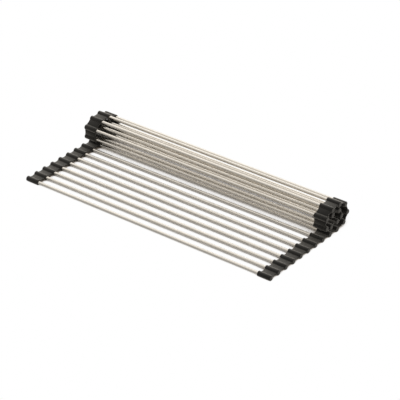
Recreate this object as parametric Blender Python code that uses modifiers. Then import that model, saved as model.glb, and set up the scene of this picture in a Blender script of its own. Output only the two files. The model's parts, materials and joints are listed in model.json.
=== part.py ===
"""Roll up dish drying rack: steel tubes between two moulded silicone strips, with its far half rolled up.

Metres, +Z up. X runs along the tubes and Y from the front edge to the roll. The origin lies on the surface
that the rack rests on, under the middle of its bounding box.
"""
import math

import bmesh
import bpy
from mathutils import Matrix

# Overall
RACK_LENGTH = 0.450             # along the tubes, over both strips
PITCH = 0.018                   # from one tube's axis to the next
TUBE_COUNT = 22
FRONT_COUNT = 5                 # tubes of the flat front that can curl up
FLAT_COUNT = 10                 # tubes that lie flat, from the front edge to the roll

# Tubes
TUBE_DIAMETER = 0.005
TUBE_WALL = 0.0005
TUBE_SIDES = 12

# Silicone strips
BOSS_SHARE = 0.4556             # a boss's diameter as a share of the pitch, so that the turns of the roll clear
BOSS_LENGTH = 0.022
BOSS_END_WALL = 0.003           # closed outer end, behind the bore
BOSS_END_ROUND = 0.0009         # round at the closed outer end
BOSS_SIDES = 16
WEB_THICKNESS = 0.002
WEB_INSET = 0.0008              # the web stops this far inside each end of the bosses
WEB_FILLET = 0.0012             # radius where a web flares into a boss
WEB_SEAT_SHARE = 0.5            # how far a web reaches into a boss, as a share of the wall round its bore
FIT_GAP = 0.0003                # between a tube and its bore, and between a knuckle and its socket
LIP_SHARE = 1.12                # how far a socket's lips stand back from the hinge, as a share of its radius
FILLET_STEPS = 1
KNUCKLE_STEPS = 3

# The roll: how far each hinge is turned at rest, in degrees, from the flat part inwards
TAIL_TURNS = (27, 60, 47, 42, 15, 48, 61, 99, -65, 103, 82, 46)

STEEL_COLOUR = (0.62, 0.61, 0.58, 1.0)
STEEL_ROUGHNESS = 0.22
SILICONE_COLOUR = (0.075, 0.077, 0.070, 1.0)
SILICONE_ROUGHNESS = 0.55
SMOOTH_ANGLE = math.radians(35)
WELD = 0.00001

BOSS_RADIUS = PITCH * BOSS_SHARE / 2
BOSS_CORNER = 1 / math.cos(math.pi / BOSS_SIDES)
TUBE_RADIUS = TUBE_DIAMETER / 2
BORE_RADIUS = TUBE_RADIUS + FIT_GAP
TUBE_LENGTH = RACK_LENGTH - 2 * (BOSS_END_WALL + FIT_GAP)
WEB_SEAT = (BOSS_RADIUS - BORE_RADIUS) * WEB_SEAT_SHARE
HALF_WEB = WEB_THICKNESS / 2
HALF_PITCH = PITCH / 2


def clear_scene():
    for obj in list(bpy.data.objects):
        bpy.data.objects.remove(obj, do_unlink=True)


def new_collection(name):
    collection = bpy.data.collections.new(name)
    bpy.context.scene.collection.children.link(collection)
    return collection


def plain_material(name, colour, metallic, roughness):
    material = bpy.data.materials.new(name)
    material.use_nodes = True
    shader = material.node_tree.nodes["Principled BSDF"]
    shader.inputs["Base Color"].default_value = colour
    shader.inputs["Metallic"].default_value = metallic
    shader.inputs["Roughness"].default_value = roughness
    material.diffuse_color = colour
    return material


def evaluated_mesh(obj, name):
    """A mesh of the object as its modifiers leave it, with loose caps welded, and the object removed."""
    bpy.context.view_layer.update()
    graph = bpy.context.evaluated_depsgraph_get()
    mesh = bpy.data.meshes.new_from_object(obj.evaluated_get(graph))
    mesh.name = name
    mesh.transform(obj.matrix_world)
    shape = bmesh.new()
    shape.from_mesh(mesh)
    bmesh.ops.remove_doubles(shape, verts=shape.verts, dist=WELD)
    bmesh.ops.recalc_face_normals(shape, faces=shape.faces)
    shape.to_mesh(mesh)
    shape.free()
    bpy.data.objects.remove(obj, do_unlink=True)
    return mesh


def turned_mesh(name, profile, sides, closed=False):
    """Turns a profile of (x, radius) points about the X axis."""
    shape = bmesh.new()
    points = [shape.verts.new((x, radius, 0)) for x, radius in profile]
    for start, end in zip(points, points[1:] + points[:1] if closed else points[1:]):
        shape.edges.new((start, end))
    mesh = bpy.data.meshes.new(name)
    shape.to_mesh(mesh)
    shape.free()
    obj = bpy.data.objects.new(name, mesh)
    helpers.objects.link(obj)
    screw = obj.modifiers.new("turn", "SCREW")
    screw.axis = "X"
    screw.steps = sides
    screw.render_steps = sides
    screw.use_merge_vertices = True
    screw.merge_threshold = WELD
    return evaluated_mesh(obj, name)


def slab_mesh(name, outline, x_low, x_high):
    """A flat outline of (y, z) points, thickened along X from x_low to x_high."""
    curve = bpy.data.curves.new(name, "CURVE")
    curve.dimensions = "2D"
    curve.fill_mode = "BOTH"
    curve.extrude = (x_high - x_low) / 2
    spline = curve.splines.new("POLY")
    spline.points.add(len(outline) - 1)
    for point, (y, z) in zip(spline.points, outline):
        point.co = (y, z, 0, 1)
    spline.use_cyclic_u = True
    obj = bpy.data.objects.new(name, curve)
    helpers.objects.link(obj)
    # The curve's own X, Y and Z become the rack's Y, Z and X.
    turn = Matrix(((0, 0, 1), (1, 0, 0), (0, 1, 0))).to_4x4()
    obj.matrix_world = Matrix.Translation(((x_low + x_high) / 2, 0, 0)) @ turn
    return evaluated_mesh(obj, name)


def joined_mesh(name, meshes):
    """One closed body out of overlapping ones."""
    pieces = []
    for mesh in meshes:
        obj = bpy.data.objects.new(mesh.name, mesh)
        obj.hide_render = True
        obj.display_type = "WIRE"
        helpers.objects.link(obj)
        pieces.append(obj)
    for other in pieces[1:]:
        union = pieces[0].modifiers.new(other.name, "BOOLEAN")
        union.operation = "UNION"
        union.solver = "EXACT"
        union.object = other
    result = evaluated_mesh(pieces[0], name)
    for other in pieces[1:]:
        bpy.data.objects.remove(other, do_unlink=True)
    return result


def mirrored_mesh(mesh, name):
    """The same shape for the left end."""
    shape = bmesh.new()
    shape.from_mesh(mesh)
    bmesh.ops.scale(shape, vec=(-1, 1, 1), verts=shape.verts)
    bmesh.ops.reverse_faces(shape, faces=shape.faces)
    copy = bpy.data.meshes.new(name)
    shape.to_mesh(copy)
    shape.free()
    return copy


def round_off(mesh):
    mesh.shade_smooth()
    mesh.set_sharp_from_angle(angle=SMOOTH_ANGLE)


def tube_mesh():
    outer, inner, end = TUBE_RADIUS, TUBE_RADIUS - TUBE_WALL, TUBE_LENGTH / 2
    profile = [(end, outer), (-end, outer), (-end, inner), (end, inner)]
    return turned_mesh("tube", profile, TUBE_SIDES, closed=True)


def boss_mesh(name, y):
    """A round boss with a blind bore, open towards the middle of the rack, on a facet like all its sides."""
    outer_end = RACK_LENGTH / 2
    mouth = outer_end - BOSS_LENGTH
    bottom = outer_end - BOSS_END_WALL
    outline = [
        (outer_end, 0),
        (outer_end, BOSS_RADIUS - BOSS_END_ROUND),
        (outer_end - BOSS_END_ROUND, BOSS_RADIUS),
        (mouth, BOSS_RADIUS),
        (mouth, BORE_RADIUS),
        (bottom, BORE_RADIUS),
        (bottom, 0),
    ]
    profile = [(x, radius * BOSS_CORNER) for x, radius in outline]
    mesh = turned_mesh(name, profile, BOSS_SIDES)
    mesh.transform(Matrix.Rotation(math.pi / BOSS_SIDES, 4, "X"))
    mesh.transform(Matrix.Translation((0, y, 0)))
    return mesh


def flare(boss, direction):
    """Upper edge of a web from inside the wall of a boss, along a fillet and onto the web's flat face."""
    reach, height = BOSS_RADIUS + WEB_FILLET, HALF_WEB + WEB_FILLET
    slope = math.asin(height / reach)
    middle = reach * math.cos(slope)
    seat = BOSS_RADIUS - WEB_SEAT
    points = [(seat * math.cos(slope), seat * math.sin(slope))]
    for step in range(FILLET_STEPS + 1):
        angle = slope + (math.pi / 2 - slope) * step / FILLET_STEPS
        points.append((middle - WEB_FILLET * math.cos(angle), height - WEB_FILLET * math.sin(angle)))
    return [(boss + direction * y, z) for y, z in points]


def closed_outline(upper):
    """An outline out of its upper edge, which runs towards +Y, and the same edge mirrored below."""
    lower = [(y, -z) for y, z in reversed(upper) if z > 0]
    return upper + lower


def knuckle_edge(hinge):
    """Upper edge of the round end that turns about the hinge, from its tip."""
    angles = [math.pi / 2 * step / KNUCKLE_STEPS for step in range(KNUCKLE_STEPS + 1)]
    return [(hinge - HALF_WEB * math.cos(angle), HALF_WEB * math.sin(angle)) for angle in angles]


def socket_edge(hinge):
    """Upper edge of the end that faces the next link's knuckle, from its lip to its middle."""
    radius = HALF_WEB + FIT_GAP
    return [(hinge - radius * LIP_SHARE, HALF_WEB), (hinge - radius, 0)]


def web_meshes(name, first, last, knuckle, socket):
    """The webs of a piece whose bosses stand a pitch apart from first to last."""
    x_low = RACK_LENGTH / 2 - BOSS_LENGTH + WEB_INSET
    x_high = RACK_LENGTH / 2 - WEB_INSET
    outlines = []
    if knuckle:
        outlines.append(knuckle_edge(first - HALF_PITCH) + flare(first, -1)[::-1])
    for step in range(round((last - first) / PITCH)):
        boss = first + step * PITCH
        outlines.append(flare(boss, 1) + flare(boss + PITCH, -1)[::-1])
    if socket:
        outlines.append(flare(last, 1) + socket_edge(last + HALF_PITCH))
    meshes = []
    for number, upper in enumerate(outlines):
        meshes.append(slab_mesh(f"{name}_web_{number}", closed_outline(upper), x_low, x_high))
    return meshes


def silicone_meshes(name, first, count=1, knuckle=True, socket=True):
    """Right and left meshes of a silicone piece with its first boss at y = first."""
    last = first + (count - 1) * PITCH
    bosses = [boss_mesh(f"{name}_boss_{step}", first + step * PITCH) for step in range(count)]
    right = joined_mesh(f"right_{name}", bosses + web_meshes(name, first, last, knuckle, socket))
    left = mirrored_mesh(right, f"left_{name}")
    return {"right": right, "left": left}


def place(name, mesh, material, parent):
    obj = bpy.data.objects.new(name, mesh)
    rack.objects.link(obj)
    if not mesh.materials:
        round_off(mesh)
        mesh.materials.append(material)
    obj.parent = parent
    return obj


def axis_empty(name, location, turn, parent):
    """An empty on a hinge axis, turned about X by degrees."""
    empty = bpy.data.objects.new(name, None)
    rack.objects.link(empty)
    empty.empty_display_size = HALF_PITCH
    empty.location = location
    empty.rotation_euler = (math.radians(turn), 0, 0)
    empty.parent = parent
    return empty


def add_link(number, meshes, parent, tube_y):
    for side in ("left", "right"):
        place(f"{side}_link_{number:02d}", meshes[side], silicone, parent)
    add_tube(number, parent, tube_y)


def add_tube(number, parent, tube_y):
    tube = place(f"tube_{number:02d}", tube_shape, steel, parent)
    tube.location = (0, tube_y, 0)


def roll_reach():
    """How far the roll reaches behind the last flat hinge."""
    reach, angle, hinge = 0, 0, 0
    for turn in TAIL_TURNS:
        angle += math.radians(turn)
        reach = max(reach, hinge + HALF_PITCH * math.cos(angle) + BOSS_RADIUS)
        hinge += PITCH * math.cos(angle)
    return reach


def build_base(first_tube_y):
    """The flat middle: the tubes between the front links and the roll, in one piece of strip at each end."""
    base = axis_empty("base", (0, first_tube_y, BOSS_RADIUS), 0, None)
    first = FRONT_COUNT * PITCH
    count = FLAT_COUNT - FRONT_COUNT
    meshes = silicone_meshes("strip", first, count)
    for side in ("left", "right"):
        place(f"{side}_strip", meshes[side], silicone, base)
    for step in range(count):
        add_tube(FRONT_COUNT + 1 + step, base, first + step * PITCH)
    return base


def build_front(base):
    """The links of the front edge, hinged one to the next towards the front."""
    middle = silicone_meshes("front_link", -HALF_PITCH)
    edge = silicone_meshes("edge_link", -HALF_PITCH, knuckle=False)
    parent = base
    location = (0, FRONT_COUNT * PITCH - HALF_PITCH, 0)
    for number in range(FRONT_COUNT, 0, -1):
        parent = axis_empty(f"hinge_{number:02d}", location, 0, parent)
        add_link(number, edge if number == 1 else middle, parent, -HALF_PITCH)
        location = (0, -PITCH, 0)


def build_roll(base):
    """The links of the roll, hinged one to the next from the flat part inwards."""
    middle = silicone_meshes("roll_link", HALF_PITCH)
    end = silicone_meshes("end_link", HALF_PITCH, socket=False)
    parent = base
    location = (0, FLAT_COUNT * PITCH - HALF_PITCH, 0)
    for step, turn in enumerate(TAIL_TURNS):
        number = FLAT_COUNT + 1 + step
        parent = axis_empty(f"hinge_{number:02d}", location, turn, parent)
        add_link(number, end if number == TUBE_COUNT else middle, parent, HALF_PITCH)
        location = (0, PITCH, 0)


clear_scene()
rack = new_collection("roll_up_dish_drying_rack")
helpers = new_collection("helpers")
steel = plain_material("stainless_steel", STEEL_COLOUR, 1.0, STEEL_ROUGHNESS)
silicone = plain_material("silicone", SILICONE_COLOUR, 0.0, SILICONE_ROUGHNESS)
tube_shape = tube_mesh()

front_edge = -BOSS_RADIUS
back_edge = FLAT_COUNT * PITCH - HALF_PITCH + roll_reach()
base_empty = build_base(-(front_edge + back_edge) / 2)
build_front(base_empty)
build_roll(base_empty)
bpy.context.view_layer.update()
print("tubes:", TUBE_COUNT, " depth over all in mm:", round((back_edge - front_edge) * 1000, 1))
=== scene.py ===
# %% [markdown]
# # A roll up dish drying rack
#
# This lesson dresses a rack of 22 stainless steel tubes between two strips of charcoal silicone.
# The back half of the rack is rolled up, and the front half lies flat.
#
# The imported CAD model gives every size and place. It has one body for the flat middle of the rack
# and one for each tube that moves, so each tube and the middle of each strip rides on one of these
# bodies. All lengths are in metres.

# %% Load the imported model
import json
import math

import bmesh
import bpy
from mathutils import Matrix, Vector

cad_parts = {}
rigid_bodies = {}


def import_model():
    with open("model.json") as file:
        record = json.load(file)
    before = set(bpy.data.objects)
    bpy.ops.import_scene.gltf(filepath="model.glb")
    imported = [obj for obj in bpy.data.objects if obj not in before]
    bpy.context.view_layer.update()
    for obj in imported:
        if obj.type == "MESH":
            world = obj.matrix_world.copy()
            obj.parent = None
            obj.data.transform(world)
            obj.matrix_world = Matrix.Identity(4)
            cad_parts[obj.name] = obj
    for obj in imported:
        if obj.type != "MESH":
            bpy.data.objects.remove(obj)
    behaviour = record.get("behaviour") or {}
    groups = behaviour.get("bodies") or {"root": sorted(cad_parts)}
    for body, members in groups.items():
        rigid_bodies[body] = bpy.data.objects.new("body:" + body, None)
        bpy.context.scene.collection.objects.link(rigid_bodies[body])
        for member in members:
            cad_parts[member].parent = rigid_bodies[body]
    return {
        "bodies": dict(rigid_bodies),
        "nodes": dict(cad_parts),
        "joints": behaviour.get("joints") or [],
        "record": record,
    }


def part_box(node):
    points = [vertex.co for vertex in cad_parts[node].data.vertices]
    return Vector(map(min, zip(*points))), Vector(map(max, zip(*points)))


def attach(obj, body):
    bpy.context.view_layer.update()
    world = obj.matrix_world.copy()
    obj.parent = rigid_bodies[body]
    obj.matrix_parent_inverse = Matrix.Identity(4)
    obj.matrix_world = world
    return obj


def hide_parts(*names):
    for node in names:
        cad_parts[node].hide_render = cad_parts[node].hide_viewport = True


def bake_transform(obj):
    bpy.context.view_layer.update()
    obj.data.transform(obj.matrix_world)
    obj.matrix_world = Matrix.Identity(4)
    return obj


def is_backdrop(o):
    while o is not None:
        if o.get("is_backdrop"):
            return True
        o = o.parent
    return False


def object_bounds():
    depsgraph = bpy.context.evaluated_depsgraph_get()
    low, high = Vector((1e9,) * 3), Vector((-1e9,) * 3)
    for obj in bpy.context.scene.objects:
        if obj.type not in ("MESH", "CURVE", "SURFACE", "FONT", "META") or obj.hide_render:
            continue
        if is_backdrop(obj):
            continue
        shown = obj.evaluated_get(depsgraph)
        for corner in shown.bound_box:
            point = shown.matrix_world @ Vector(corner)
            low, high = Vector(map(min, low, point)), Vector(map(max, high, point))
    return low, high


MM = 0.001

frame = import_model()
cad_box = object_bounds()


def in_mm(length):
    return round(length / MM, 2)


for kind in ("bodies", "nodes", "joints"):
    print(kind, "in the frame:", len(frame[kind]))
print("CAD box in mm:", [in_mm(side) for side in cad_box[1] - cad_box[0]])

# %% [markdown]
# ## Sizes, read from the frame
#
# A lesson that repeats the CAD sizes goes wrong as soon as one of them changes. Each tube node
# says where its axis lies, each hinge says where a web bends, and a strip's own box says how thick
# and how long its bosses are. A boss is the round sleeve of silicone that holds the end of a tube.
# The tubes lie along X, so a place across the rack is written as (y, z).

# %% Places of the tubes across the rack
def number_of(name):
    """The number that ends a name such as tube_07 or link_07."""
    return int(name[-2:])


def middle(node):
    low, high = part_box(node)
    return (low + high) / 2


tube_names = sorted(name for name in frame["nodes"] if name.startswith("tube_"))
axis_at = {}
for name in tube_names:
    centre = middle(name)
    axis_at[number_of(name)] = Vector((centre.y, centre.z))

body_of = {}
for body, names in frame["record"]["behaviour"]["bodies"].items():
    for name in names:
        if name.startswith("tube_"):
            body_of[number_of(name)] = body
print("tubes:", len(axis_at), " bodies that carry them:", len(set(body_of.values())))

# %% Places of the hinges
hinges = []
for joint in frame["joints"]:
    number = number_of(joint["child"])
    step = 1 if body_of.get(number + 1) == joint["parent"] else -1
    hinges.append({
        "parent": joint["parent"],
        "child": joint["child"],
        "near": number + step,
        "far": number,
        "place": Vector(joint["pos_m"][1:]),
    })
print("webs that bend at each end:", len(hinges))

# %% Sizes of a tube and of a strip
strip_low, strip_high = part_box("right_strip")
tube_low, tube_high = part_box("tube_08")
BOSS_RADIUS = (strip_high.z - strip_low.z) / 2
BOSS_OUTER = strip_high.x
BOSS_MOUTH = strip_low.x
TUBE_RADIUS = (tube_high.z - tube_low.z) / 2
TUBE_HALF_LENGTH = (tube_high.x - tube_low.x) / 2
PITCH = (axis_at[9] - axis_at[8]).length
print("boss in mm:", in_mm(2 * BOSS_RADIUS), "thick,", in_mm(BOSS_OUTER - BOSS_MOUTH), "long")
print("tube in mm:", in_mm(2 * TUBE_RADIUS), "thick,", in_mm(PITCH), "from tube to tube")

# %% [markdown]
# ## The camera
#
# The photograph was matched by its tube ends: the ends lie on a regular grid, so a camera that
# puts every one of them on its place in the picture also has the right distance. It is a long
# lens from far away, which is why the tubes look almost parallel. The fit counts in spacings of
# the tubes, which are turned into metres here.

# %% Camera
FITTED_SPACING = 0.018
CAMERA_AZIMUTH = math.radians(37.629)
CAMERA_ELEVATION = math.radians(30.867)
CAMERA_FROM_FIRST_TUBE = Vector((83.752, -101.364, 80.984)) * FITTED_SPACING
CAMERA_LENS = 173.92
SENSOR_WIDTH = 36
CAMERA_REACH = (0.05, 20)

camera_data = bpy.data.cameras.new("camera")
camera_data.lens = CAMERA_LENS
camera_data.sensor_width = SENSOR_WIDTH
camera_data.clip_start, camera_data.clip_end = CAMERA_REACH
camera = bpy.data.objects.new("camera", camera_data)
bpy.context.scene.collection.objects.link(camera)
camera.location = Vector((0, axis_at[1].x, axis_at[1].y)) + CAMERA_FROM_FIRST_TUBE
camera.rotation_euler = (math.radians(90) - CAMERA_ELEVATION, 0, CAMERA_AZIMUTH)
bpy.context.scene.camera = camera
bpy.context.scene.view_settings.view_transform = "Standard"
print("camera at", [round(value, 3) for value in camera.location])

# %% [markdown]
# ## Light
#
# Polished steel has hardly any colour of its own and shows what stands round it. So the light is
# made for the reflections. The room is brightest above and behind the rack, which gives each tube
# its pale top, and falls off steeply towards the front, which gives it a darker body. The same
# fall-off leaves the front of each silicone boss in shade. The camera itself sees the room as
# plain white, so that a low view has the same background as the photograph.

# %% Helpers for node trees
def node(tree, kind, place=(0, 0), **settings):
    """A new node. A setting is the value of a socket by that name, or else of a property."""
    made = tree.nodes.new(kind)
    made.location = place
    for name, value in settings.items():
        if name in made.inputs:
            made.inputs[name].default_value = value
        else:
            setattr(made, name, value)
    return made


def link(tree, output, target):
    tree.links.new(output, target)


def fill_ramp(ramp, stops):
    """Gives a colour ramp its stops, each a position and a colour."""
    elements = ramp.color_ramp.elements
    while len(elements) < len(stops):
        elements.new(0.5)
    for element, (position, colour) in zip(elements, stops):
        element.position = position
        element.color = colour


# %% Brightness of the room in each direction
ROOM_BRIGHT_WAY = (-0.15, 0.55, 0.82)
ROOM_STOPS = [
    (0.10, (0.040, 0.039, 0.038, 1)),
    (0.30, (0.080, 0.079, 0.077, 1)),
    (0.44, (0.340, 0.335, 0.326, 1)),
    (0.50, (0.560, 0.552, 0.538, 1)),
    (0.58, (0.700, 0.690, 0.672, 1)),
    (0.75, (0.840, 0.827, 0.806, 1)),
]

world = bpy.data.worlds.new("room")
bpy.context.scene.world = world
world.use_nodes = True
room = world.node_tree
room.nodes.clear()
direction = node(room, "ShaderNodeTexCoord", (-900, 0))
toward = node(room, "ShaderNodeVectorMath", (-700, 0), operation="DOT_PRODUCT")
link(room, direction.outputs["Generated"], toward.inputs[0])
toward.inputs[1].default_value = Vector(ROOM_BRIGHT_WAY).normalized()
place_on_ramp = node(room, "ShaderNodeMapRange", (-500, 0))
link(room, toward.outputs["Value"], place_on_ramp.inputs["Value"])
place_on_ramp.inputs["From Min"].default_value = -1.0
fade = node(room, "ShaderNodeValToRGB", (-300, 0))
link(room, place_on_ramp.outputs["Result"], fade.inputs["Fac"])
fill_ramp(fade, ROOM_STOPS)
print("room light:", len(ROOM_STOPS), "stops")

# %% The room as a light and as a background
ROOM_STRENGTH = 1.0
BACKGROUND_COLOUR = (1, 1, 1, 1)

lit = node(room, "ShaderNodeBackground", (0, 0), Strength=ROOM_STRENGTH)
link(room, fade.outputs["Color"], lit.inputs["Color"])
seen = node(room, "ShaderNodeBackground", (0, -150), Color=BACKGROUND_COLOUR)
ray_kind = node(room, "ShaderNodeLightPath", (0, 350))
room_mix = node(room, "ShaderNodeMixShader", (250, 0))
link(room, ray_kind.outputs["Is Camera Ray"], room_mix.inputs[0])
link(room, lit.outputs[0], room_mix.inputs[1])
link(room, seen.outputs[0], room_mix.inputs[2])
room_out = node(room, "ShaderNodeOutputWorld", (450, 0))
link(room, room_mix.outputs[0], room_out.inputs["Surface"])
print("room strength:", ROOM_STRENGTH, " background:", BACKGROUND_COLOUR[:3])

# %% [markdown]
# One soft panel stands behind the rack, to its left and above it. Most of the light comes from the
# room, so the panel is weak. It brightens the glint along each tube and the backs of the bosses.

# %% Soft lamp behind the rack
LAMP_PLACE = (-0.65, 0.95, 0.80)
LAMP_AIM = (0, 0, 0)
LAMP_SIZE = (1.2, 0.8)
LAMP_POWER = 2.4
LAMP_COLOUR = (1.0, 0.99, 0.97)

lamp_data = bpy.data.lights.new("back_panel", "AREA")
lamp_data.shape = "RECTANGLE"
lamp_data.size, lamp_data.size_y = LAMP_SIZE
lamp_data.energy = LAMP_POWER
lamp_data.color = LAMP_COLOUR
lamp = bpy.data.objects.new("back_panel", lamp_data)
bpy.context.scene.collection.objects.link(lamp)
lamp.location = LAMP_PLACE
lamp_way = Vector(LAMP_AIM) - Vector(LAMP_PLACE)
lamp.rotation_euler = lamp_way.to_track_quat("-Z", "Y").to_euler()
print("lamp:", lamp.name, " power:", LAMP_POWER, "W")

# %% [markdown]
# ## The floor
#
# The rack stands on a sheet of white paper that is wide enough to fill the picture. One square
# face does for it. It lies a hair below zero, so that it never shares a plane with the flat feet
# of the bosses, and it is declared as stage, because it isn't a part of the rack.

# %% Sheet of paper
FLOOR_SIZE = 6.0
FLOOR_BELOW = 0.05 * MM

floor_mesh = bpy.data.meshes.new("floor")
half = FLOOR_SIZE / 2
corners = [(-half, -half, 0), (half, -half, 0), (half, half, 0), (-half, half, 0)]
floor_mesh.from_pydata(corners, [], [(0, 1, 2, 3)])
floor = bpy.data.objects.new("floor", floor_mesh)
floor.location.z = -FLOOR_BELOW
bpy.context.scene.collection.objects.link(floor)
floor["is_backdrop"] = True
print("floor:", FLOOR_SIZE, "m wide")

# %% [markdown]
# The photograph is a catalogue picture: open paper is pure white, and the paper turns dark only
# where the rack lies close over it. A lamp strong enough to bleach the paper would bleach the rack
# too. So the white comes from the paper's own colour, and its shade is painted shade, put into that
# colour by one curve over how much of the space above each point is open: brown under the roll,
# grey beside a tube, white elsewhere.
# The space is measured round a direction that leans to the front of the rack, which puts the shade
# behind each tube, where the photograph has it.

# %% Painted shade of the paper
SHADE_REACH = 60 * MM
SHADE_LEAN = (0.30, -0.90, 0.84)
SHADE_SAMPLES = 16
SHADE_STOPS = [
    (0.16, (0.020, 0.017, 0.014, 1)),
    (0.31, (0.042, 0.032, 0.023, 1)),
    (0.41, (0.160, 0.130, 0.100, 1)),
    (0.47, (0.440, 0.400, 0.355, 1)),
    (0.525, (0.840, 0.827, 0.813, 1)),
    (0.60, (0.940, 0.932, 0.925, 1)),
    (0.70, (1.0, 1.0, 1.0, 1)),
]

floor_paint = bpy.data.materials.new("white_paper")
floor_paint.use_nodes = True
tree = floor_paint.node_tree
tree.nodes.clear()
lean = node(tree, "ShaderNodeCombineXYZ", (-1300, -250))
for axis, value in zip("XYZ", Vector(SHADE_LEAN).normalized()):
    lean.inputs[axis].default_value = value
openness = node(tree, "ShaderNodeAmbientOcclusion", (-1100, -250), Distance=SHADE_REACH)
openness.samples = SHADE_SAMPLES
link(tree, lean.outputs[0], openness.inputs["Normal"])
# painted shade: the paper's colour turns brown and grey where the space above it is closed
shade = node(tree, "ShaderNodeValToRGB", (-800, -250))
link(tree, openness.outputs["AO"], shade.inputs["Fac"])
fill_ramp(shade, SHADE_STOPS)
print("paper shade:", len(SHADE_STOPS), "stops, reach in mm:", in_mm(SHADE_REACH))

# %% [markdown]
# The camera sees that colour as it is, and steel mirrors a part of it. All other light meets plain
# matt paper, which throws little light up, so that the undersides of the silicone stay dark.

# %% Material of the paper
PAPER_BOUNCE = (0.2, 0.2, 0.2, 1)
PAPER_MIRRORED = 0.4

matt = node(tree, "ShaderNodeBsdfDiffuse", (-300, 100), Color=PAPER_BOUNCE)
# the paper's colour, with its painted shade, glows for the camera and for a share of the
# reflections
glow = node(tree, "ShaderNodeEmission", (-300, -50), Strength=1.0)
link(tree, shade.outputs["Color"], glow.inputs["Color"])
ray = node(tree, "ShaderNodeLightPath", (-900, 0))
mirrored = node(tree, "ShaderNodeMath", (-700, 0), operation="MULTIPLY")
link(tree, ray.outputs["Is Glossy Ray"], mirrored.inputs[0])
mirrored.inputs[1].default_value = PAPER_MIRRORED
share = node(tree, "ShaderNodeMath", (-500, 0), operation="MAXIMUM")
link(tree, ray.outputs["Is Camera Ray"], share.inputs[0])
link(tree, mirrored.outputs[0], share.inputs[1])
paper_mix = node(tree, "ShaderNodeMixShader", (-100, 100))
link(tree, share.outputs[0], paper_mix.inputs[0])
link(tree, matt.outputs[0], paper_mix.inputs[1])
link(tree, glow.outputs[0], paper_mix.inputs[2])
paper_out = node(tree, "ShaderNodeOutputMaterial", (100, 100))
link(tree, paper_mix.outputs[0], paper_out.inputs["Surface"])
floor.data.materials.append(floor_paint)
print("material:", floor_paint.name)

# %% [markdown]
# ## A shared group: fine grain
#
# Both finishes have a fine unevenness that shows in the sheen before it shows as a shape. On a
# steel tube it is the polishing belt's marks, which run round the tube. On silicone it is the
# texture of the mould. One group makes both. It takes a stretch along each axis, so that a mark
# is long one way and fine the other, and it gives a mask and a height.

# %% Fine grain group
MASK_MIDDLE = 0.5


def new_socket(tree, name, direction, kind, value=None):
    made = tree.interface.new_socket(name=name, in_out=direction, socket_type=kind)
    if value is not None:
        made.default_value = value


grain = bpy.data.node_groups.new("fine_grain", "ShaderNodeTree")
new_socket(grain, "Stretch", "INPUT", "NodeSocketVector", (1000.0, 1000.0, 1000.0))
new_socket(grain, "Contrast", "INPUT", "NodeSocketFloat", 1.0)
new_socket(grain, "Detail", "INPUT", "NodeSocketFloat", 3.0)
new_socket(grain, "Mask", "OUTPUT", "NodeSocketFloat")
new_socket(grain, "Height", "OUTPUT", "NodeSocketFloat")
given = node(grain, "NodeGroupInput", (-800, 0))
given_out = node(grain, "NodeGroupOutput", (400, 0))
where = node(grain, "ShaderNodeTexCoord", (-800, 250))
scaled = node(grain, "ShaderNodeVectorMath", (-600, 150), operation="MULTIPLY")
link(grain, where.outputs["Object"], scaled.inputs[0])
link(grain, given.outputs["Stretch"], scaled.inputs[1])
speckle = node(grain, "ShaderNodeTexNoise", (-400, 150), Scale=1.0)
link(grain, scaled.outputs[0], speckle.inputs["Vector"])
link(grain, given.outputs["Detail"], speckle.inputs["Detail"])
centred = node(grain, "ShaderNodeMath", (-200, 150), operation="SUBTRACT")
link(grain, speckle.outputs["Fac"], centred.inputs[0])
centred.inputs[1].default_value = MASK_MIDDLE
spread = node(grain, "ShaderNodeMath", (0, 150), operation="MULTIPLY_ADD", use_clamp=True)
link(grain, centred.outputs[0], spread.inputs[0])
link(grain, given.outputs["Contrast"], spread.inputs[1])
spread.inputs[2].default_value = MASK_MIDDLE
link(grain, spread.outputs[0], given_out.inputs["Mask"])
link(grain, speckle.outputs["Fac"], given_out.inputs["Height"])
print("group:", grain.name, [socket.name for socket in grain.interface.items_tree])

# %% [markdown]
# Four short helpers place the group in a material and turn its mask into a roughness or a colour,
# and its height into a bump. A Mix node keeps separate sockets for numbers and for colours under
# the same names, so these are reached by their place in the list.

# %% Helpers that use the group in a material
MIX_FACTOR = 0
MIX_NUMBERS = (2, 3)
MIX_COLOURS = (6, 7)
MIX_COLOUR_RESULT = 2


def place_grain(tree, place, stretch, contrast, detail):
    made = node(tree, "ShaderNodeGroup", place, node_tree=grain)
    made.inputs["Stretch"].default_value = stretch
    made.inputs["Contrast"].default_value = contrast
    made.inputs["Detail"].default_value = detail
    return made


def spread_value(tree, mask, ends, place):
    """A value that runs from the first end to the second as the mask runs from 0 to 1."""
    made = node(tree, "ShaderNodeMapRange", place)
    link(tree, mask, made.inputs["Value"])
    made.inputs["To Min"].default_value, made.inputs["To Max"].default_value = ends
    return made.outputs["Result"]


def spread_colour(tree, mask, ends, place):
    made = node(tree, "ShaderNodeMix", place, data_type="RGBA")
    link(tree, mask, made.inputs[MIX_FACTOR])
    for socket, colour in zip(MIX_COLOURS, ends):
        made.inputs[socket].default_value = colour
    return made.outputs[MIX_COLOUR_RESULT]


def raise_grain(tree, height, strength, depth, place):
    made = node(tree, "ShaderNodeBump", place, Strength=strength, Distance=depth)
    link(tree, height, made.inputs["Height"])
    return made.outputs["Normal"]


# %% [markdown]
# ## Polished stainless steel
#
# The tubes are drawn and then polished on a belt. The belt leaves marks round the tube, far finer
# than a millimetre, and a slow change of sheen along it. The marks go into the roughness and, very
# faintly, into a bump. The colour changes only a little, between two light warm greys.

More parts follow.
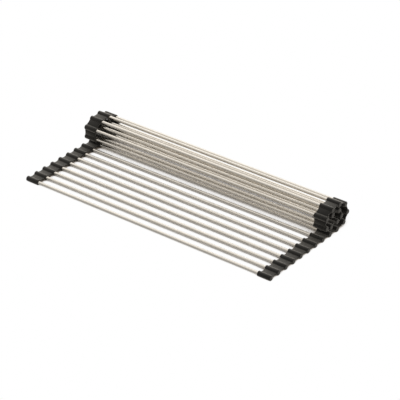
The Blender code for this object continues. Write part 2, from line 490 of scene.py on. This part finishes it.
# %% Steel
STEEL_COLOURS = ((0.75, 0.705, 0.635, 1), (0.84, 0.79, 0.715, 1))
STEEL_ROUGHNESS = (0.13, 0.27)
BELT_MARKS = {"stretch": (9000.0, 260.0, 260.0), "contrast": 1.6, "detail": 4.0}
BELT_SHEEN = {"stretch": (24.0, 90.0, 90.0), "contrast": 2.0, "detail": 2.0}
BELT_SHEEN_SHARE = 0.5
BELT_BUMP = {"strength": 0.08, "depth": 0.02 * MM}

steel = bpy.data.materials.new("polished_steel")
steel.use_nodes = True
tree = steel.node_tree
shader = tree.nodes["Principled BSDF"]
shader.inputs["Metallic"].default_value = 1.0
belt = place_grain(tree, (-900, 0), **BELT_MARKS)
sheen = place_grain(tree, (-900, -300), **BELT_SHEEN)
polish = node(tree, "ShaderNodeMix", (-700, -150), data_type="FLOAT")
polish.inputs[MIX_FACTOR].default_value = BELT_SHEEN_SHARE
for socket, marks in zip(MIX_NUMBERS, (belt, sheen)):
    link(tree, marks.outputs["Mask"], polish.inputs[socket])
roughness = spread_value(tree, polish.outputs[0], STEEL_ROUGHNESS, (-450, -150))
colour = spread_colour(tree, sheen.outputs["Mask"], STEEL_COLOURS, (-450, 150))
normal = raise_grain(tree, belt.outputs["Height"], place=(-450, -400), **BELT_BUMP)
link(tree, roughness, shader.inputs["Roughness"])
link(tree, colour, shader.inputs["Base Color"])
link(tree, normal, shader.inputs["Normal"])
print("material:", steel.name, " roughness:", STEEL_ROUGHNESS)

# %% [markdown]
# ## Moulded silicone
#
# The strips are charcoal silicone. The mould gives it a fine even texture, and handling leaves a
# slow change between a darker and a dustier grey. Silicone has little gloss, but a bloom like that
# of felt: it looks nearly black face on, and pale grey at a slant. In the photograph this draws
# each boss, light along its top and dark on its front. The shader's own sheen makes it, as one
# constant over the whole strip, so it holds from every side.

# %% Silicone
SILICONE_COLOURS = ((0.006, 0.0056, 0.0051, 1), (0.013, 0.0122, 0.011, 1))
SILICONE_ROUGHNESS = (0.40, 0.56)
SILICONE_BLOOM = {
    "Specular IOR Level": 0.09,
    "Sheen Weight": 1.0,
    "Sheen Roughness": 0.46,
    "Sheen Tint": (1.0, 0.95, 0.87, 1),
}
MOULD_TEXTURE = {"stretch": (5200.0, 5200.0, 5200.0), "contrast": 1.4, "detail": 3.0}
DUST = {"stretch": (160.0, 210.0, 210.0), "contrast": 2.2, "detail": 4.0}
MOULD_BUMP = {"strength": 0.25, "depth": 0.05 * MM}

silicone = bpy.data.materials.new("charcoal_silicone")
silicone.use_nodes = True
tree = silicone.node_tree
shader = tree.nodes["Principled BSDF"]
for socket, value in SILICONE_BLOOM.items():
    shader.inputs[socket].default_value = value
mould = place_grain(tree, (-900, 0), **MOULD_TEXTURE)
dust = place_grain(tree, (-900, -300), **DUST)
roughness = spread_value(tree, mould.outputs["Mask"], SILICONE_ROUGHNESS, (-450, -150))
colour = spread_colour(tree, dust.outputs["Mask"], SILICONE_COLOURS, (-450, 150))
normal = raise_grain(tree, mould.outputs["Height"], place=(-450, -400), **MOULD_BUMP)
link(tree, roughness, shader.inputs["Roughness"])
link(tree, colour, shader.inputs["Base Color"])
link(tree, normal, shader.inputs["Normal"])
print("material:", silicone.name, " roughness:", SILICONE_ROUGHNESS)

# %% [markdown]
# ## The tubes
#
# Each tube is a thin pipe, open at both ends. The CAD tube has few sides, which is enough for its
# shape but would show as flats in a mirror finish. So each one is turned again here with more
# sides, at the same place and size, and stands for its CAD node.

# %% Helpers that draw and finish a mesh
def ring_points(centre, radius, sides):
    """Points on a circle across the rack."""
    points = []
    for step in range(sides):
        angle = math.tau * step / sides
        y = centre.x + radius * math.cos(angle)
        z = centre.y + radius * math.sin(angle)
        points.append(Vector((y, z)))
    return points


def bridge(shape, ring, following):
    """A band of faces between two closed rings, or a fan where one of them is a single point."""
    count = max(len(ring), len(following))
    for step in range(count):
        after = (step + 1) % count
        if len(ring) == 1:
            shape.faces.new((ring[0], following[after], following[step]))
        elif len(following) == 1:
            shape.faces.new((ring[step], ring[after], following[0]))
        else:
            shape.faces.new((ring[step], ring[after], following[after], following[step]))


def finished_mesh(shape, name, sharp_angle):
    """The drawn shape as a mesh, smooth but for edges that turn by more than sharp_angle."""
    bmesh.ops.recalc_face_normals(shape, faces=shape.faces)
    mesh = bpy.data.meshes.new(name)
    shape.to_mesh(mesh)
    shape.free()
    mesh.shade_smooth()
    mesh.set_sharp_from_angle(angle=sharp_angle)
    return mesh


def add_piece(name, mesh, material):
    obj = bpy.data.objects.new(name, mesh)
    bpy.context.scene.collection.objects.link(obj)
    mesh.materials.append(material)
    return obj


# %% Turn the tubes
TUBE_WALL = 0.5 * MM
TUBE_SIDES = 48
TUBE_SHARP_ANGLE = math.radians(40)


def draw_tube(centre):
    """A pipe along X. Its wall is drawn along the outside, round one end and back inside."""
    shape = bmesh.new()
    rings = []
    stations = [
        (TUBE_HALF_LENGTH, TUBE_RADIUS),
        (-TUBE_HALF_LENGTH, TUBE_RADIUS),
        (-TUBE_HALF_LENGTH, TUBE_RADIUS - TUBE_WALL),
        (TUBE_HALF_LENGTH, TUBE_RADIUS - TUBE_WALL),
    ]
    for x, radius in stations:
        points = ring_points(centre, radius, TUBE_SIDES)
        rings.append([shape.verts.new((x, point.x, point.y)) for point in points])
    for ring, following in zip(rings, rings[1:] + rings[:1]):
        bridge(shape, ring, following)
    return shape


for number, centre in axis_at.items():
    name = f"steel_tube_{number:02d}"
    mesh = finished_mesh(draw_tube(centre), name, TUBE_SHARP_ANGLE)
    tube = add_piece(name, mesh, steel)
    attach(tube, body_of[number])
    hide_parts(f"tube_{number:02d}")
print("tubes turned:", len(axis_at), " faces each:", len(tube.data.polygons))

# %% [markdown]
# ## The silicone strips
#
# On the real rack each strip is one moulding: a row of bosses joined by thin webs, and the webs
# bend when the rack is rolled. The CAD strip is cut at each web that moves. Here each moving boss
# is made together with the whole web that joins it to the boss before it.
#
# Seen from its end, a web is one closed outline: along one flank from boss to boss, and back along
# the other. It leaves a boss through a small fillet, and its two ends are seated a little inside
# the bosses, so that no gap can open there. The outline is drawn first, and then stretched along X
# with its ends rounded.

# %% Middle line of a web
WEB_STEPS = 14
WEB_PULL = 0.8


def web_line(start, corner, end):
    """Points and directions of a curve that leaves start towards corner and ends at end."""
    points, directions = [], []
    for step in range(WEB_STEPS + 1):
        t = step / WEB_STEPS
        a, b, c = (1 - t) ** 2, 2 * t * (1 - t) * WEB_PULL, t ** 2
        points.append((start * a + corner * b + end * c) / (a + b + c))
    for step in range(WEB_STEPS + 1):
        if step == 0:
            way = corner - start
        elif step == WEB_STEPS:
            way = end - corner
        else:
            way = points[step + 1] - points[step - 1]
        directions.append(way.normalized())
    return points, directions


print("steps along a web:", WEB_STEPS)

# %% Fillet between a web and a boss
WEB_THICKNESS = 2.0 * MM
WEB_FILLET = 1.2 * MM
FILLET_STEPS = 5
FILLET_REACH = math.sqrt(
    (BOSS_RADIUS + WEB_FILLET) ** 2 - (WEB_THICKNESS / 2 + WEB_FILLET) ** 2
)


def turned(vector, angle):
    return Vector((
        vector.x * math.cos(angle) - vector.y * math.sin(angle),
        vector.x * math.sin(angle) + vector.y * math.cos(angle),
    ))


def fillet_points(centre, way, side):
    """From the wall of a boss, along its fillet, to the flat of a web that leaves it along way.
    side is 1 for the web's left flank, seen along way, and -1 for its right flank."""
    height = WEB_THICKNESS / 2 + WEB_FILLET
    reach = BOSS_RADIUS + WEB_FILLET
    slope = math.asin(height / reach)
    hub = turned(way, side * slope) * reach
    start_angle = math.pi + side * slope
    end_angle = -side * math.pi / 2
    turn = (end_angle - start_angle + math.pi) % math.tau - math.pi
    found = []
    for step in range(FILLET_STEPS + 1):
        angle = start_angle + turn * step / FILLET_STEPS
        found.append(centre + hub + turned(way, angle) * WEB_FILLET)
    return found


print("a web is flat from", in_mm(FILLET_REACH), "mm off a boss's axis")

# %% [markdown]
# A web runs from boss to boss along a curve that leaves both of them straight. It bends towards
# its hinge but only part of the way, so that its inner side never folds and its outer side lies
# lower than the bosses, which stand up as ridges along the roll.

# %% Outline of a web between two bosses
WEB_LIFT = 0.65
WEB_SEAT = 0.7 * MM


def web_outline(near, corner, far):
    """Both flanks as (y, z) points, each with its share of the way from near to far."""
    corner = (near + far) / 2 * (1 - WEB_LIFT) + corner * WEB_LIFT
    out_way = (corner - near).normalized()
    in_way = (far - corner).normalized()
    start = near + out_way * FILLET_REACH
    end = far - in_way * FILLET_REACH
    points, directions = web_line(start, corner, end)
    count = len(points) - 1
    sides = {}
    for side in (1, -1):
        first = fillet_points(near, out_way, side)
        last = fillet_points(far, -in_way, -side)[::-1]
        seat_in = near + (first[0] - near).normalized() * (BOSS_RADIUS - WEB_SEAT)
        seat_out = far + (last[-1] - far).normalized() * (BOSS_RADIUS - WEB_SEAT)
        flat = []
        for point, way in zip(points[1:-1], directions[1:-1]):
            flat.append(point + Vector((-way.y, way.x)) * side * WEB_THICKNESS / 2)
        shares = [0.0] * (len(first) + 1)
        shares += [step / count for step in range(1, count)]
        shares += [1.0] * (len(last) + 1)
        sides[side] = list(zip([seat_in] + first + flat + last + [seat_out], shares))
    return sides[1], sides[-1]


flanks = web_outline(axis_at[8], (axis_at[8] + axis_at[9]) / 2, axis_at[9])
print("points in the outline of a web:", sum(len(flank) for flank in flanks))

# %% [markdown]
# The flat outline becomes a solid by lofting it along X. Its two ends are rounded by drawing the
# outline in a little at each end, the way a mould's edges are eased. Between two bosses the web's
# ends also curve inwards, which gives the strip its scalloped edge.

# %% Ends of a web
WEB_INSET = 1.3 * MM
SCALLOP_SHARE = 0.45
WEB_ROUND = 0.5 * MM
ROUND_STEPS = 3
DRAWN_IN_LIMIT = 0.4


def scallop(share):
    """How far the web's end stands inside the bosses' ends, at a share of the way over."""
    near_end = min(share, 1 - share) * 2
    smooth = near_end * near_end * (3 - 2 * near_end)
    return WEB_INSET * (SCALLOP_SHARE + (1 - SCALLOP_SHARE) * smooth)


def end_stations():
    """(depth from the end, how far the outline is drawn in) for each ring of a rounded end."""
    found = []
    for step in range(ROUND_STEPS + 1):
        angle = math.pi / 2 * step / ROUND_STEPS
        found.append((WEB_ROUND * (1 - math.sin(angle)), WEB_ROUND * (1 - math.cos(angle))))
    return found[::-1]


def drawn_in(left, right, amount):
    """Both flanks of the outline moved towards each other, but never so far that they meet."""
    moved_left, moved_right = [], []
    for (a, share), (b, _) in zip(left, right):
        across = (b - a).normalized() * min(amount, (b - a).length * DRAWN_IN_LIMIT)
        moved_left.append((a + across, share))
        moved_right.append((b - across, share))
    return moved_left, moved_right


print("rings in each rounded end:", len(end_stations()))


# %% Loft a web along X
HANDS = {"left": -1, "right": 1}


def loft_web(shape, left, right, hand):
    """Adds a closed web to the mesh. hand is 1 for the right strip and -1 for the left."""
    rings = []
    for outer in (True, False):
        stations = end_stations()
        for depth, amount in stations if outer else stations[::-1]:
            edge_left, edge_right = drawn_in(left, right, amount)
            ring = []
            for point, share in edge_left + edge_right[::-1]:
                if outer:
                    x = BOSS_OUTER - scallop(share) - depth
                else:
                    x = BOSS_MOUTH + scallop(share) + depth
                ring.append(shape.verts.new((hand * x, point.x, point.y)))
            rings.append(ring)
    for ring, following in zip(rings, rings[1:]):
        bridge(shape, ring, following)
    count = len(rings[0])
    for ring in (rings[0], rings[-1]):
        for step in range(count // 2 - 1):
            far = count - 1 - step
            shape.faces.new((ring[step], ring[step + 1], ring[far - 1], ring[far]))


trial = bmesh.new()
loft_web(trial, *flanks, HANDS["right"])
print("faces of one web:", len(trial.faces))
trial.free()

# %% [markdown]
# A boss is turned like the tube: a profile runs from the middle of its closed end, over the
# rounded edge, along the wall and down into the bore that holds the tube.

# %% Profile of a boss
BOSS_ROUND = 0.9 * MM
MOUTH_ROUND = 0.4 * MM
BORE_GAP = 0.06 * MM
BORE_END_GAP = 0.2 * MM
BORE_RADIUS = TUBE_RADIUS + BORE_GAP
BORE_BOTTOM = TUBE_HALF_LENGTH + BORE_END_GAP
TURN_STEPS = 5


def quarter(x, radius, size, toward):
    """Points of a rounded edge whose corner would be at x and radius.
    toward is 1 at the outer end of the boss and -1 at its mouth."""
    found = []
    for step in range(TURN_STEPS + 1):
        angle = math.pi / 2 * step / TURN_STEPS
        inward = size * (1 - math.sin(angle)), size * (1 - math.cos(angle))
        found.append((x - toward * inward[1], radius - inward[0]))
    return found if toward > 0 else found[::-1]


def boss_profile():
    profile = [(BOSS_OUTER, 0.0), (BOSS_OUTER, (BOSS_RADIUS - BOSS_ROUND) / 2)]
    profile += quarter(BOSS_OUTER, BOSS_RADIUS, BOSS_ROUND, 1)
    profile += quarter(BOSS_MOUTH, BOSS_RADIUS, MOUTH_ROUND, -1)
    profile += [
        (BOSS_MOUTH, BORE_RADIUS + MOUTH_ROUND / 2),
        (BOSS_MOUTH + MOUTH_ROUND / 2, BORE_RADIUS),
        (BORE_BOTTOM, BORE_RADIUS),
        (BORE_BOTTOM, 0.0),
    ]
    return profile


print("points in the profile of a boss:", len(boss_profile()))

# %% Turn a boss
BOSS_SIDES = 44


def turn_boss(shape, centre, hand):
    """Adds a closed boss to the mesh, about an axis through centre."""
    rings = []
    for x, radius in boss_profile():
        if radius == 0:
            rings.append([shape.verts.new((hand * x, centre.x, centre.y))])
        else:
            points = ring_points(centre, radius, BOSS_SIDES)
            rings.append([shape.verts.new((hand * x, point.x, point.y)) for point in points])
    for ring, following in zip(rings, rings[1:]):
        bridge(shape, ring, following)


print("sides of a boss:", BOSS_SIDES)

# %% [markdown]
# ## Put the strips together
#
# The middle of a strip, with the bosses that never move against each other, is one piece, and it
# rides on the middle body. Each other piece is a boss and its web, made where the CAD model has
# them.

# %% Middle of each strip
MOULDING_SHARP_ANGLE = math.radians(38)

base_numbers = sorted(number for number, body in body_of.items() if body == "base")
for end_name, hand in HANDS.items():
    shape = bmesh.new()
    for number in base_numbers:
        turn_boss(shape, axis_at[number], hand)
    for number in base_numbers[:-1]:
        near, far = axis_at[number], axis_at[number + 1]
        loft_web(shape, *web_outline(near, (near + far) / 2, far), hand)
    name = f"{end_name}_moulding_middle"
    mesh = finished_mesh(shape, name, MOULDING_SHARP_ANGLE)
    piece = add_piece(name, mesh, silicone)
    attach(piece, "base")
    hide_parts(f"{end_name}_strip")
print("middle pieces hold bosses", base_numbers, " faces each:", len(piece.data.polygons))

for hinge in hinges:
    near, far = axis_at[hinge["near"]], axis_at[hinge["far"]]
    for end_name, hand in HANDS.items():
        shape = bmesh.new()
        turn_boss(shape, far, hand)
        loft_web(shape, *web_outline(near, hinge["place"], far), hand)
        name = f"{end_name}_moulding_{hinge['far']:02d}"
        mesh = finished_mesh(shape, name, MOULDING_SHARP_ANGLE)
        piece = add_piece(name, mesh, silicone)
        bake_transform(piece)
        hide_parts(f"{end_name}_{hinge['child']}")
print("pieces that bend:", 2 * len(hinges), " faces each:", len(piece.data.polygons))

# %% [markdown]
# ## Finish
#
# The last cell prints the box of the CAD model and the box of the dressed model, so that the two
# can be compared.

# %% Sizes and the end
dressed_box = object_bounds()
sizes = {
    "cad": [list(map(float, corner)) for corner in cad_box],
    "dressed": [list(map(float, corner)) for corner in dressed_box],
}
for label, box in sizes.items():
    print(label, [round(1000 * value, 2) for corner in box for value in corner])
